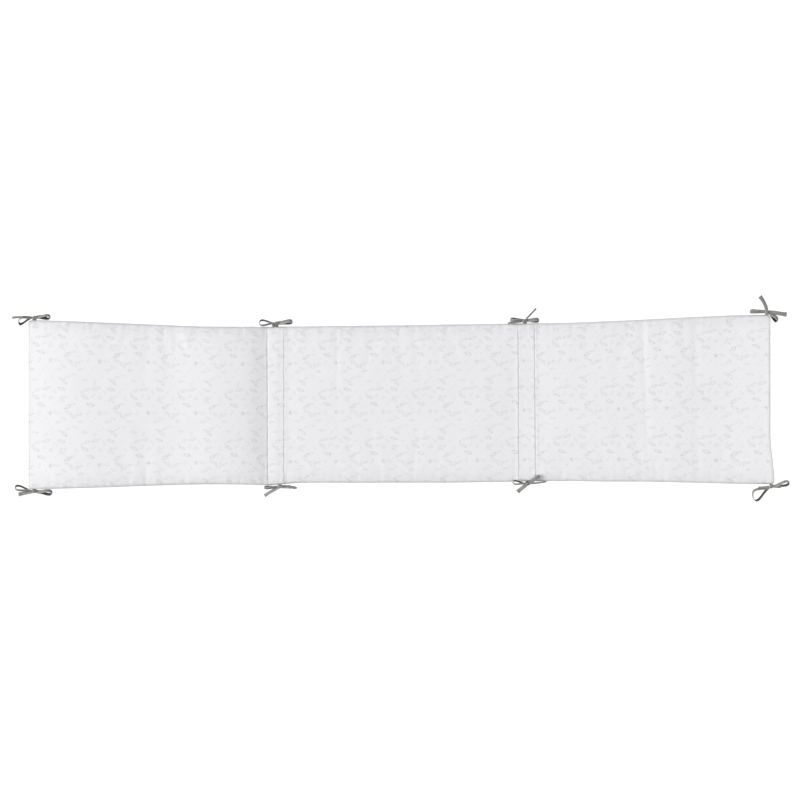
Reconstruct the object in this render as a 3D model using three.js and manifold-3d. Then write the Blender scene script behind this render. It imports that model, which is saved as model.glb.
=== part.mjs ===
// A padded cot bumper lying face up: one cover sewn into three filled panels, with a flat
// fold strip between each two, and eight tape ties in bows along its long edges.
// Millimetres. +X runs along the length, +Y to the top edge, +Z up.
// The origin is on the flat underside, in the middle of the long centre line.
import * as THREE from "three";
import { mergeVertices } from "three/addons/utils/BufferGeometryUtils.js";
import Module from "manifold-3d";

const wasm = await Module();
wasm.setup();

// Driving sizes of the pad
const LEFT_END = -900;
const RIGHT_END = 896;
const CORNER_RADIUS = 9;
const CORNER_FLARE = 10; // the lower right corner is pulled out by its tie
const FLARE_LENGTH = 160; // along the bottom edge
const FLARE_START = 0.4; // up the right end, as a share of half its height
const LOFT = 18.5; // top of a filled panel over the surface it lies on, before it swells or thins
const CROWN = 1.5; // how much lower the panel is where its long edges begin to roll
const SEAM_RISE = 7; // middle of every seam over that surface
const SEAM_THICK = 2.6; // front and back cover closed together in a seam
// How the height grows from a seam: a quick lip, a slow rise, and the lip's share of the height
const EDGE_ROLL = { lip: 4, reach: 24, lipShare: 0.5 };
const LEFT_ROLL = { lip: 0.6, reach: 6, lipShare: 0.9 };
const RIGHT_ROLL = { lip: 2.5, reach: 8, lipShare: 0.68 };
const GROOVE_ROLL = { lip: 2.4, reach: 10, lipShare: 0.95 };
const HEM = 4.5; // level along the left and right end
const GROOVE_DEPTHS = [0.4, 0.4, 0.4, 0.5]; // of the lines of stitching, from the left
const BACK_ROLL = 40; // from a seam to the full hang of the underside
const BACK_BULGE = 9; // how far the back cover would hang below its seams if nothing held it up
const STRIP_WIDTH = 40; // between the two lines of stitching of a fold strip
const STRIP_CENTRES = [-299.8, 306.5];
const STRIP_BULGE = 4.5; // the same as BACK_BULGE, of a strip
const SEAM_LEANS = [0, -1.1, 0, -1.2, -1.6, 0]; // of the top end of each seam along X, from the left
const ROLL_POWER = 2.4; // how full the rolled edges are
const BELOW = { length: 2000, width: 600, depth: 50 }; // the room under the surface it lies on

// The outline, a row for each section along the length, as uneven as the real cover lies.
// top and bottom are the distances of the two long edges from the centre line.
const SECTIONS = [
  { x: -900, top: 199.8, bottom: 207.8 },
  { x: -799, top: 197.5, bottom: 206.0 },
  { x: -702, top: 193.6, bottom: 203.2 },
  { x: -605, top: 189.7, bottom: 199.7 },
  { x: -484, top: 184.9, bottom: 196.5 },
  { x: -387, top: 184.2, bottom: 196.8 },
  { x: -321, top: 183.9, bottom: 198.4 },
  { x: -281, top: 184.3, bottom: 195.5 },
  { x: -242, top: 184.7, bottom: 192.8 },
  { x: -121, top: 186.2, bottom: 192.5 },
  { x: 0, top: 187.4, bottom: 192.3 },
  { x: 121, top: 189.5, bottom: 192.1 },
  { x: 242, top: 191.2, bottom: 190.3 },
  { x: 387, top: 193.1, bottom: 188.1 },
  { x: 484, top: 196.5, bottom: 189.4 },
  { x: 605, top: 202.0, bottom: 189.9 },
  { x: 726, top: 208.2, bottom: 192.8 },
  { x: 823, top: 212.0, bottom: 195.1 },
  { x: 907, top: 212.3, bottom: 196.0 },
];

// What is sewn between two seams, from the left. A filled panel thins towards its left and right
// seam, by fall over reach, and may swell. A strip has a top of its own, higher in its middle by
// crown, and rises to the right by tilt.
const SPANS = [
  {
    filled: true, leftFall: 7.6, leftReach: 168, rightFall: 3.6, rightReach: 58,
    swell: { x: -432, width: 100, rise: 4.2 },
  },
  { filled: false, top: 16.0, crown: 0.8, tilt: 0.6 },
  { filled: true, leftFall: 2.2, leftReach: 210, rightFall: 1.5, rightReach: 180 },
  { filled: false, top: 16.6, crown: 0.2, tilt: 0 },
  {
    filled: true, leftFall: 2.2, leftReach: 260, rightFall: -2.6, rightReach: 130,
    swell: { x: 662, width: 45, rise: 0.8 },
  },
];

// Soft creases of the front cover. from is the edge a crease starts at (1 top, -1 bottom),
// run its length across the pad, lean how far it drifts along X on the way,
// and rise its height, a trough where negative.
const CREASES = [
  { x: -543, from: 1, run: 110, lean: 0, width: 9, rise: -0.5 },
  { x: -526, from: 1, run: 100, lean: 16, width: 7, rise: 0.6 },
  { x: -356, from: 1, run: 130, lean: 0, width: 3.6, rise: 0.3 },
  { x: -612, from: -1, run: 50, lean: -5, width: 6, rise: -0.8 },
  { x: -153, from: 1, run: 330, lean: 4, width: 4, rise: -0.4 },
  { x: -208, from: -1, run: 45, lean: 8, width: 4, rise: -0.8 },
  { x: -198, from: -1, run: 36, lean: 6, width: 4, rise: -0.6 },
  { x: 576, from: 1, run: 420, lean: 34, width: 6, rise: -0.5 },
  { x: 592, from: 1, run: 420, lean: 30, width: 10, rise: 0.3 },
  { x: 712, from: 1, run: 420, lean: 6, width: 7, rise: -0.3 },
  { x: 396, from: -1, run: 40, lean: -8, width: 6, rise: -0.6 },
  { x: 622, from: -1, run: 80, lean: -14, width: 4, rise: -0.7 },
];

// Mesh lines of the cover: these distances beside every seam, then evenly up to the widest step
const BESIDE_SEAM = [2.4, 6, 14, 30];
const STRIP_LINES = [2.4, 10, 20, 30, 37.6];
const WIDEST_STEP = 48;
const CLOSEST_STEP = 5;

// Driving sizes of the ties
const TAPE_WIDTH = 10;
const TAPE_THICK = 1.6;
const TAPE_PINCH = 0.7; // share of the tape's width left inside its knot
const PINCH_REACH = 0.35; // share of a loop or end over which it widens again
const SETTLED = 0.8; // share of a loop or end by which it has come down to rest
const KNOT = { along: 6.4, across: 4.6, high: 4.4, around: 8, rings: 6 }; // half sizes and facets
const CLEARANCE = 0.3; // between a tie's sewn end and the edge seam
const SEWN_LEVEL = 0.4; // share of the sewn end that stays level with the seam
const FLOOR_GAP = 0.4; // under a loop or end that lies on the surface
const HALF_LOOP_STEPS = 7;
const END_STEPS = 4;

// The ties, a row for each knot. edge is 1 on the top edge and -1 on the bottom edge, out the
// middle of the knot beyond that edge and rise its height over the surface.
// turn is the way a loop or free end points in plan, in degrees from +X, reach its length
// and bend how far it drifts to its left on the way.
// face is 0 where the tape stands on its edge and 90 or -90 where it lies flat, belly the width
// of an open loop, and over lifts what lies on the pad or on the rest of its bow.
const TIES = [
  {
    name: "tie_top_1", x: -885, edge: 1, out: 7.5, rise: 7,
    loops: [
      { turn: 182, reach: 38, bend: 11, belly: 20, face: -42, over: 0 },
      { turn: 2, reach: 39, bend: 0, belly: 13, face: 38, over: 0 },
    ],
    ends: [
      { turn: 173, reach: 53, bend: 6, face: 34, over: 3 },
      { turn: 4, reach: 30, bend: 0, face: 70, over: 0 },
    ],
  },
  {
    name: "tie_top_2", x: -299, edge: 1, out: 9, rise: 7,
    loops: [
      { turn: 178, reach: 42, bend: 0, belly: 16, face: 24, over: 0 },
      { turn: 6, reach: 39, bend: 0, belly: 12, face: 62, over: 0 },
    ],
    ends: [
      { turn: 210, reach: 12, bend: 0, face: 75, over: 10 },
      { turn: 6, reach: 28, bend: 0, face: 84, over: 0 },
    ],
  },
  {
    name: "tie_top_3", x: 302.5, edge: 1, out: 7.5, rise: 7,
    loops: [
      { turn: 177, reach: 36, bend: 0, belly: 11, face: 62, over: 0 },
      { turn: 2, reach: 34, bend: 0, belly: 11, face: 64, over: 0 },
    ],
    ends: [
      { turn: 45, reach: 40, bend: 1, face: 24, over: 0 },
      { turn: 188, reach: 42, bend: 0, face: 30, over: 9.5 },
    ],
  },
  {
    name: "tie_top_4", x: 888, edge: 1, out: 9, rise: 7,
    loops: [
      { turn: 179, reach: 41, bend: 0, belly: 7, face: 64, over: 0 },
      { turn: -35, reach: 34, bend: -4, belly: 12, face: 56, over: 0 },
    ],
    ends: [
      { turn: 92, reach: 38, bend: 14, face: 84, over: 0 },
      { turn: -9, reach: 48, bend: 0, face: 82, over: 9 },
    ],
  },
  {
    name: "tie_bottom_1", x: -885, edge: -1, out: 6.5, rise: 7,
    loops: [
      { turn: 167, reach: 48, bend: 0, belly: 14, face: 34, over: 0 },
      { turn: -4, reach: 44, bend: 0, belly: 15, face: 42, over: 0 },
    ],
    ends: [
      { turn: 186, reach: 40, bend: 3, face: 66, over: 0 },
      { turn: -8, reach: 28, bend: 0, face: 75, over: 0 },
    ],
  },
  {
    name: "tie_bottom_2", x: -291, edge: -1, out: 6.5, rise: 7,
    loops: [
      { turn: 183, reach: 38, bend: 0, belly: 6, face: 40, over: 0 },
      { turn: 3, reach: 41, bend: -5, belly: 5, face: 18, over: 0 },
    ],
    ends: [
      { turn: 204, reach: 43, bend: 4, face: 50, over: 0 },
      { turn: -2, reach: 26, bend: 0, face: 60, over: 0 },
    ],
  },
  {
    name: "tie_bottom_3", x: 308.5, edge: -1, out: 6.5, rise: 14,
    loops: [
      { turn: 172, reach: 37, bend: 0, belly: 11, face: 26, over: 12.5 },
      { turn: 36, reach: 34, bend: 0, belly: 7, face: 72, over: 15.2 },
    ],
    ends: [
      { turn: 216, reach: 31, bend: 2, face: 84, over: 0 },
      { turn: 1, reach: 46, bend: 4, face: 24, over: 3 },
    ],
  },
  {
    name: "tie_bottom_4", x: 899, edge: -1, out: 6.5, rise: 7,
    loops: [
      { turn: 12, reach: 44, bend: 1, belly: 14, face: 32, over: 0 },
      { turn: 204, reach: 53, bend: 5, belly: 32, face: -28, over: 0 },
    ],
    ends: [
      { turn: 187, reach: 31, bend: 0, face: 50, over: 0 },
      { turn: -3, reach: 24, bend: 0, face: 40, over: 0 },
    ],
  },
];

const cotton = new THREE.MeshStandardMaterial({ color: 0xebebef, roughness: 0.92, metalness: 0 });
const greyTape = new THREE.MeshStandardMaterial({ color: 0x858581, roughness: 0.9, metalness: 0 });

const { clamp, degToRad, lerp, smoothstep } = THREE.MathUtils;
const up = new THREE.Vector3(0, 0, 1);

function indexedGeometry(points, triangles) {
  const geometry = new THREE.BufferGeometry();
  geometry.setAttribute("position", new THREE.Float32BufferAttribute(points, 3));
  geometry.setIndex(triangles);
  return geometry;
}

// Closed triangles as a manifold solid, and back
function solidOf(geometry) {
  const bare = geometry.clone();
  bare.deleteAttribute("normal");
  bare.deleteAttribute("uv");
  const merged = mergeVertices(bare, 1e-4);
  const mesh = new wasm.Mesh({
    numProp: 3,
    vertProperties: merged.attributes.position.array,
    triVerts: new Uint32Array(merged.index.array),
  });
  return new wasm.Manifold(mesh);
}

function geometryOf(solid) {
  const mesh = solid.getMesh();
  const geometry = indexedGeometry(Array.from(mesh.vertProperties), Array.from(mesh.triVerts));
  geometry.computeVertexNormals();
  return geometry;
}

// A long edge's distance from the centre line at x: a smooth curve through the sections
function edgeAt(x, key) {
  const last = SECTIONS.length - 1;
  const next = clamp(SECTIONS.findIndex((section) => section.x >= x), 1, last);
  const [before, from, to, after] = [-2, -1, 0, 1].map((k) => SECTIONS[clamp(next + k, 0, last)]);
  const span = to.x - from.x;
  const t = (x - from.x) / span;
  const slopeFrom = ((to[key] - before[key]) / (to.x - before.x)) * span;
  const slopeTo = ((after[key] - from[key]) / (after.x - from.x)) * span;
  const ends = from[key] * (1 + 2 * t) * (1 - t) ** 2 + to[key] * t ** 2 * (3 - 2 * t);
  return ends + slopeFrom * t * (1 - t) ** 2 + slopeTo * t ** 2 * (t - 1);
}

const stitchLines = STRIP_CENTRES.flatMap((x) => [x - STRIP_WIDTH / 2, x + STRIP_WIDTH / 2]);
const seams = [LEFT_END, ...stitchLines, RIGHT_END];

const spans = SPANS.map((span, k) => ({ ...span, from: seams[k], to: seams[k + 1] }));

// 0 at a seam, 1 where the filling has its full height
function roll(distance, reach) {
  return 1 - (1 - Math.min(distance / reach, 1)) ** ROLL_POWER;
}

function plumped(distance, { lip, reach, lipShare }) {
  return lerp(roll(distance, reach), roll(distance, lip), lipShare);
}

function thinning(span, x) {
  const inside = clamp(x, LEFT_END + HEM, RIGHT_END - HEM);
  const leftShare = Math.max(0, 1 - (inside - span.from) / span.leftReach);
  const rightShare = Math.max(0, 1 - (span.to - inside) / span.rightReach);
  return span.leftFall * leftShare ** 2 + span.rightFall * rightShare ** 2;
}

function swellHeight({ swell }, x) {
  return swell ? swell.rise * Math.exp(-(((x - swell.x) / swell.width) ** 2)) : 0;
}

function grooveDepth(x) {
  let depth = 0;
  stitchLines.forEach((line, k) => {
    depth += GROOVE_DEPTHS[k] * (1 - plumped(Math.abs(x - line), GROOVE_ROLL));
  });
  return depth;
}

// How far the covers are drawn along X at the top edge, where the seams lean
function leanAt(x) {
  const next = clamp(seams.findIndex((seam) => seam >= x), 1, seams.length - 1);
  const share = (x - seams[next - 1]) / (seams[next] - seams[next - 1]);
  return lerp(SEAM_LEANS[next - 1], SEAM_LEANS[next], share);
}

function stripTop(span, x) {
  const alongSpan = (2 * x - span.from - span.to) / (span.to - span.from);
  return span.top + span.crown * (1 - alongSpan ** 2) + (span.tilt * alongSpan) / 2;
}

function creaseHeight(x, v, half) {
  let height = 0;
  for (const crease of CREASES) {
    const share = ((1 - crease.from * v) * half) / crease.run;
    if (share >= 1) continue;
    const off = (x - crease.x - crease.lean * share) / crease.width;
    height += crease.rise * Math.exp(-off * off) * (1 - share * share);
  }
  return height;
}

// A point of the front and of the back cover. x lies in a span between two seams, and v runs
// from -1 at the bottom edge to 1 at the top edge.
function coverPoint(span, x, v, isFront) {
  const top = edgeAt(x, "top");
  const bottom = edgeAt(x, "bottom");
  const half = (top + bottom) / 2;
  const toEdge = (1 - Math.abs(v)) * half;
  const toSeam = Math.min(x - span.from, span.to - x);
  const toEnd = Math.min(x - LEFT_END, RIGHT_END - x);

  // The four outer corners are turned out round
  const nearEnd = Math.max(0, 1 - toEnd / CORNER_RADIUS);
  const nearEdge = Math.max(0, 1 - toEdge / CORNER_RADIUS);
  const inFromEnd = CORNER_RADIUS * nearEnd * (1 - Math.sqrt(1 - nearEdge ** 2 / 2));
  const inFromEdge = CORNER_RADIUS * nearEdge * (1 - Math.sqrt(1 - nearEnd ** 2 / 2));
  const nearRight = smoothstep(x, RIGHT_END - FLARE_LENGTH, RIGHT_END);
  const flare = CORNER_FLARE * smoothstep(-v, FLARE_START, 1) * nearRight;
  const planX = x + leanAt(x) * v + flare - Math.sign(x) * inFromEnd;
  const planY = (top - bottom) / 2 + v * half - Math.sign(v) * inFromEdge;

  if (isFront) {
    const seamTop = SEAM_RISE + SEAM_THICK / 2;
    const panelTop = LOFT - thinning(span, x) + swellHeight(span, x) + creaseHeight(x, v, half);
    const filledTop = span.filled ? panelTop : stripTop(span, x);
    const fullHeight = filledTop - CROWN * v ** 2 - grooveDepth(x) - seamTop;
    const endShare = plumped(x - LEFT_END, LEFT_ROLL) * plumped(RIGHT_END - x, RIGHT_ROLL);
    return [planX, planY, seamTop + fullHeight * endShare * plumped(toEdge, EDGE_ROLL)];
  }
  const seamBack = SEAM_RISE - SEAM_THICK / 2;
  const panelHang = BACK_BULGE * roll(toEdge, BACK_ROLL) * roll(toSeam, BACK_ROLL);
  const stripHang = STRIP_BULGE * roll(toEdge, STRIP_WIDTH / 2) * roll(toSeam, STRIP_WIDTH / 2);
  return [planX, planY, seamBack - (span.filled ? panelHang : stripHang)];
}

// Sorted lines between two ends: the fixed ones, others where there is room, and no step too wide
function spreadLines(from, to, fixed, others) {
  const kept = [from, ...fixed, to];
  for (const line of others) {
    if (kept.every((other) => Math.abs(line - other) > CLOSEST_STEP)) kept.push(line);
  }
  kept.sort((a, b) => a - b);
  const lines = [];
  kept.forEach((line, k) => {
    if (k === 0) return;
    const steps = Math.ceil((line - kept[k - 1]) / WIDEST_STEP);
    for (let step = 0; step < steps; step++) lines.push(lerp(kept[k - 1], line, step / steps));
  });
  return lines;
}

function lengthLines() {
  const lines = [];
  for (const span of spans) {
    const creases = CREASES.filter((crease) => crease.x > span.from && crease.x < span.to);
    const creaseLines = creases.flatMap(({ x, width }) => [x - width, x, x + width]);
    const besideSeams = BESIDE_SEAM.flatMap((step) => [span.from + step, span.to - step]);
    const stripLines = STRIP_LINES.map((step) => span.from + step);
    const xs = spreadLines(span.from, span.to, span.filled ? besideSeams : stripLines, creaseLines);
    for (const x of xs) lines.push({ span, x });
  }
  lines.push({ span: spans.at(-1), x: RIGHT_END });
  return lines;
}

function heightLines() {
  const half = SECTIONS[0].top;
  const besideEdges = BESIDE_SEAM.flatMap((step) => [step - half, half - step]);
  return [...spreadLines(-half, half, besideEdges, []), half].map((y) => y / half);
}

// The cover as a closed grid, its front and back joined round the edge, then flat where it rests
function padSolid() {
  const columns = lengthLines();
  const rows = heightLines();
  const points = [];
  for (const isFront of [true, false]) {
    for (const { span, x } of columns) {
      for (const v of rows) points.push(...coverPoint(span, x, v, isFront));
    }
  }
  const lastColumn = columns.length - 1;
  const lastRow = rows.length - 1;
  const front = (i, j) => i * rows.length + j;
  const back = (i, j) => (columns.length + i) * rows.length + j;
  const triangles = [];
  const addQuad = (a, b, c, d) => triangles.push(a, b, c, a, c, d);
  for (let i = 0; i < lastColumn; i++) {
    for (let j = 0; j < lastRow; j++) {
      addQuad(front(i, j), front(i + 1, j), front(i + 1, j + 1), front(i, j + 1));
      addQuad(back(i, j), back(i, j + 1), back(i + 1, j + 1), back(i + 1, j));
    }
    addQuad(back(i, 0), back(i + 1, 0), front(i + 1, 0), front(i, 0));
    addQuad(front(i, lastRow), front(i + 1, lastRow), back(i + 1, lastRow), back(i, lastRow));
  }
  for (let j = 0; j < lastRow; j++) {
    addQuad(front(0, j), front(0, j + 1), back(0, j + 1), back(0, j));
    addQuad(back(lastColumn, j), back(lastColumn, j + 1), front(lastColumn, j + 1), front(lastColumn, j));
  }
  const below = new THREE.BoxGeometry(BELOW.length, BELOW.width, BELOW.depth);
  below.translate(0, 0, -BELOW.depth / 2);
  return solidOf(indexedGeometry(points, triangles)).subtract(solidOf(below));
}

// A strip of tape through stations, each with its middle, the way across the tape and its width
function tapeSolid(stations) {
  const points = [];
  const triangles = [];
  stations.forEach(({ middle, across, width }, k) => {
    const ahead = stations[Math.min(k + 1, stations.length - 1)].middle;
    const behind = stations[Math.max(k - 1, 0)].middle;
    const way = ahead.clone().sub(behind).normalize();
    const face = way.clone().cross(across).normalize();
    for (const [side, level] of [[-1, -1], [1, -1], [1, 1], [-1, 1]]) {
      const corner = middle.clone();
      corner.addScaledVector(across, (side * width) / 2);
      corner.addScaledVector(face, (level * TAPE_THICK) / 2);
      points.push(...corner.toArray());
    }
  });
  const addQuad = (a, b, c, d) => triangles.push(a, b, c, a, c, d);
  for (let k = 0; k + 1 < stations.length; k++) {
    for (let side = 0; side < 4; side++) {
      const next = (side + 1) % 4;
      addQuad(4 * k + side, 4 * k + next, 4 * k + 4 + next, 4 * k + 4 + side);
    }
  }
  const end = 4 * (stations.length - 1);
  addQuad(3, 2, 1, 0);
  addQuad(end, end + 1, end + 2, end + 3);
  return solidOf(indexedGeometry(points, triangles));
}

function headings(turn) {
  const angle = degToRad(turn);
  const heading = new THREE.Vector3(Math.cos(angle), Math.sin(angle), 0);
  return { heading, left: new THREE.Vector3().crossVectors(up, heading) };
}

function pinchedWidth(share) {
  return TAPE_WIDTH * lerp(TAPE_PINCH, 1, smoothstep(share, 0, PINCH_REACH));
}

// A loop out of the knot and back into it, as two runs of tape that meet at its far end
function loopSolids(knot, loop) {
  const { heading, left } = headings(loop.turn);
  const tilt = degToRad(loop.face);
  const sideways = left.clone().multiplyScalar(Math.cos(tilt)).addScaledVector(up, Math.sin(tilt));
  const across = up.clone().multiplyScalar(Math.cos(tilt)).addScaledVector(left, -Math.sin(tilt));
  const depth = (Math.abs(sideways.z) * loop.belly + across.z * TAPE_WIDTH + TAPE_THICK) / 2;
  const rest = FLOOR_GAP + loop.over + depth;
  const widest = 0.572; // the greatest value of the drop shape below
  const stations = [];
  for (let step = 0; step <= 2 * HALF_LOOP_STEPS; step++) {
    const angle = (Math.PI * step) / HALF_LOOP_STEPS;
    const out = (1 - Math.cos(angle)) / 2;
    const open = (Math.sin(angle) * Math.sin(angle / 2) ** 3) / widest;
    const middle = knot.clone();
    middle.addScaledVector(heading, loop.reach * out);
    middle.addScaledVector(left, loop.bend * out * out);
    middle.z = lerp(knot.z, rest, smoothstep(out, 0, SETTLED));
    middle.addScaledVector(sideways, (loop.belly / 2) * open);
    stations.push({ middle, across, width: pinchedWidth(out) });
  }
  return [stations.slice(0, HALF_LOOP_STEPS + 1), stations.slice(HALF_LOOP_STEPS)].map(tapeSolid);
}

function endSolid(knot, end) {
  const { heading, left } = headings(end.turn);
  const tilt = degToRad(end.face);
  const across = up.clone().multiplyScalar(Math.cos(tilt)).addScaledVector(left, Math.sin(tilt));
  const rest = FLOOR_GAP + end.over + (across.z * TAPE_WIDTH + TAPE_THICK) / 2;
  const stations = [];
  for (let step = 0; step <= END_STEPS; step++) {
    const share = step / END_STEPS;
    const middle = knot.clone();
    middle.addScaledVector(heading, end.reach * share);
    middle.addScaledVector(left, end.bend * share * share);
    middle.z = lerp(knot.z, rest, smoothstep(share, 0, SETTLED));
    stations.push({ middle, across, width: pinchedWidth(share) });
  }
  return tapeSolid(stations);
}

// The end that is caught in the edge seam, a hair short of the pad
function sewnEndSolid(knot, tie) {
  const key = tie.edge > 0 ? "top" : "bottom";
  const reaches = [-1, 0, 1].map((side) => edgeAt(tie.x + (side * TAPE_WIDTH) / 2, key));
  const seam = new THREE.Vector3(tie.x, tie.edge * (Math.max(...reaches) + CLEARANCE), SEAM_RISE);
  const across = new THREE.Vector3(1, 0, 0);
  const level = new THREE.Vector3(tie.x, lerp(seam.y, knot.y, SEWN_LEVEL), SEAM_RISE);
  return tapeSolid([seam, level, knot].map((middle) => ({ middle, across, width: TAPE_WIDTH })));
}

function tieSolid(tie) {
  const edge = edgeAt(tie.x, tie.edge > 0 ? "top" : "bottom");
  const knot = new THREE.Vector3(tie.x, tie.edge * (edge + tie.out), tie.rise);
  const lump = new THREE.SphereGeometry(1, KNOT.around, KNOT.rings);
  lump.rotateX(Math.PI / 2);
  lump.scale(KNOT.along, KNOT.across, KNOT.high);
  lump.translate(knot.x, knot.y, knot.z);
  const pieces = [solidOf(lump), sewnEndSolid(knot, tie)];
  for (const loop of tie.loops) pieces.push(...loopSolids(knot, loop));
  for (const end of tie.ends) pieces.push(endSolid(knot, end));
  return wasm.Manifold.union(pieces);
}

function namedMesh(name, solid, material) {
  const mesh = new THREE.Mesh(geometryOf(solid), material);
  mesh.name = name;
  return mesh;
}

const bumper = new THREE.Group();
bumper.name = "cot_bumper";
bumper.add(namedMesh("bumper_pad", padSolid(), cotton));
for (const tie of TIES) bumper.add(namedMesh(tie.name, tieSolid(tie), greyTape));

export default bumper;
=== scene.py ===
import math

import bpy
import numpy as np
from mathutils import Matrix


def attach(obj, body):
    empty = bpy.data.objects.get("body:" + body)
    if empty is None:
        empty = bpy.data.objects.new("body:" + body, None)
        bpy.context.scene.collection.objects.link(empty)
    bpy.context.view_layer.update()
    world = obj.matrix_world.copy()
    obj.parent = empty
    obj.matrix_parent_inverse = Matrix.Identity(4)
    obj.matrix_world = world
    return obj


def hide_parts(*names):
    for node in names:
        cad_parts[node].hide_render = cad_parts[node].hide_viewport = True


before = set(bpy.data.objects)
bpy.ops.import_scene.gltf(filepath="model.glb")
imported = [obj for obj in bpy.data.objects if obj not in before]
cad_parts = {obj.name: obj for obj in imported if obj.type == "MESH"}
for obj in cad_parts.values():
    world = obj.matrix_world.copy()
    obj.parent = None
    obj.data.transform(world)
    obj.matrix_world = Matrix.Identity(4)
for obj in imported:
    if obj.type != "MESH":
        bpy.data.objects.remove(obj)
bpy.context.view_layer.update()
print("frame loaded:", len(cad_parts), "nodes")


# Node trees

class Wire:  # a socket in a node tree; arithmetic on wires adds Math nodes
    def __init__(self, tree, socket=None):
        self.tree = tree
        self.socket = socket

    def node(self, kind, settings, inputs, outlet=0):  # any other node, its settings first
        made = self.tree.nodes.new(kind)
        for name, value in settings.items():
            setattr(made, name, value)
        for name, value in inputs.items():
            if isinstance(value, Wire):
                self.tree.links.new(value.socket, made.inputs[name])
            else:
                made.inputs[name].default_value = value
        return Wire(self.tree, made.outputs[outlet] if len(made.outputs) else None)

    def math(self, operation, *values):
        return self.node("ShaderNodeMath", {"operation": operation}, dict(enumerate(values)))

    def vector(self, operation, *values):
        return self.node("ShaderNodeVectorMath", {"operation": operation}, dict(enumerate(values)))

    def __add__(self, other):
        return self.math("ADD", self, other)

    def __sub__(self, other):
        return self.math("SUBTRACT", self, other)

    def __mul__(self, other):
        return self.math("MULTIPLY", self, other)

    def __truediv__(self, other):
        return self.math("DIVIDE", self, other)

    def __radd__(self, other):
        return self.math("ADD", other, self)

    def __rsub__(self, other):
        return self.math("SUBTRACT", other, self)

    def __rmul__(self, other):
        return self.math("MULTIPLY", other, self)

    def __abs__(self):
        return self.math("ABSOLUTE", self)

    def most(self, other):
        return self.math("MAXIMUM", self, other)

    def sine(self):
        return self.math("SINE", self)

    def ease(self, low, high):  # 0 at low, 1 at high, smooth between
        limits = {"Value": self, "From Min": low, "From Max": high}
        return self.node("ShaderNodeMapRange", {"interpolation_type": "SMOOTHSTEP"}, limits)

    def parts(self):
        split = self.node("ShaderNodeSeparateXYZ", {}, {"Vector": self}).socket.node
        return [Wire(self.tree, outlet) for outlet in split.outputs]

    def blend(self, low, high):  # a colour between two others
        inputs = {"Factor": self, 6: low, 7: high}
        return self.node("ShaderNodeMix", {"data_type": "RGBA"}, inputs, outlet=2)

    def attribute(self, name, outlet="Fac"):
        return self.node("ShaderNodeAttribute", {"attribute_name": name}, {}, outlet=outlet)

    def noise(self, place, scale, detail):
        return self.node("ShaderNodeTexNoise", {}, {"Vector": place, "Scale": scale, "Detail": detail})

    def bump(self, strength, depth):  # the wire is the height
        inputs = {"Height": self, "Strength": strength, "Distance": depth}
        return self.node("ShaderNodeBump", {}, inputs)


def newMaterial(name):
    material = bpy.data.materials.new(name)
    material.use_nodes = True
    material.node_tree.nodes.clear()
    return material, Wire(material.node_tree)


def closeMaterial(wire, paint):
    surface = wire.node("ShaderNodeBsdfPrincipled", {}, paint)
    wire.node("ShaderNodeOutputMaterial", {}, {"Surface": surface})


def shaded(colour, share):  # the same colour, lighter or darker
    return tuple(share * part for part in colour[:3]) + (1,)


def newTree(name, sizes):  # a Geometry Nodes tree: a path and named sizes in, a mesh out
    tree = bpy.data.node_groups.new(name, "GeometryNodeTree")
    tree.interface.new_socket("Path", in_out="INPUT", socket_type="NodeSocketGeometry")
    for label in sizes:
        tree.interface.new_socket(label, in_out="INPUT", socket_type="NodeSocketFloat")
    tree.interface.new_socket("Material", in_out="INPUT", socket_type="NodeSocketMaterial")
    tree.interface.new_socket("Mesh", in_out="OUTPUT", socket_type="NodeSocketGeometry")
    outlets = tree.nodes.new("NodeGroupInput").outputs
    return Wire(tree), {label: Wire(tree, outlets[label]) for label in ["Path", *sizes, "Material"]}


def heldCurve(wire, inlets):  # the path as a curve, turned by the direction kept at its points
    curve = wire.node("GeometryNodeMeshToCurve", {}, {"Mesh": inlets["Path"]})
    way = wire.node("GeometryNodeInputNamedAttribute", {"data_type": "FLOAT_VECTOR"}, {"Name": "way"})
    return wire.node("GeometryNodeSetCurveNormal", {"mode": "FREE"}, {"Curve": curve, "Normal": way})


def stored(wire, geometry, name, value):  # a number kept at every point, for the material
    inputs = {"Geometry": geometry, "Name": name, "Value": value}
    return wire.node("GeometryNodeStoreNamedAttribute", {"data_type": "FLOAT", "domain": "POINT"}, inputs)


def closeTree(wire, inlets, geometry):
    realized = wire.node("GeometryNodeRealizeInstances", {}, {"Geometry": geometry})
    smooth = wire.node("GeometryNodeSetShadeSmooth", {}, {"Geometry": realized})
    dressing = {"Geometry": smooth, "Material": inlets["Material"]}
    dressed = wire.node("GeometryNodeSetMaterial", {}, dressing)
    wire.node("NodeGroupOutput", {}, {"Mesh": dressed})
    return wire.tree


# Meshes

def linked(name, data):
    made = bpy.data.objects.new(name, data)
    bpy.context.scene.collection.objects.link(made)
    return made


def grownPiece(name, path, tree, sizes):  # what a tree makes of a path, as a plain mesh
    holder = linked(name + "-path", path)
    modifier = holder.modifiers.new("grow", "NODES")
    modifier.node_group = tree
    sockets = {item.name: item.identifier for item in tree.interface.items_tree if item.in_out == "INPUT"}
    for label, value in sizes.items():
        modifier[sockets[label]] = value
    shown = holder.evaluated_get(bpy.context.evaluated_depsgraph_get())
    mesh = bpy.data.meshes.new_from_object(shown)
    bpy.data.objects.remove(holder)
    bpy.data.meshes.remove(path)
    mesh.name = name
    return linked(name, mesh)


def writeAttribute(mesh, name, values):  # a number or a vector for each point
    values = np.asarray(values, np.float32)
    if values.ndim == 2:
        mesh.attributes.new(name, "FLOAT_VECTOR", "POINT").data.foreach_set("vector", values.ravel())
    else:
        mesh.attributes.new(name, "FLOAT", "POINT").data.foreach_set("value", values)


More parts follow.
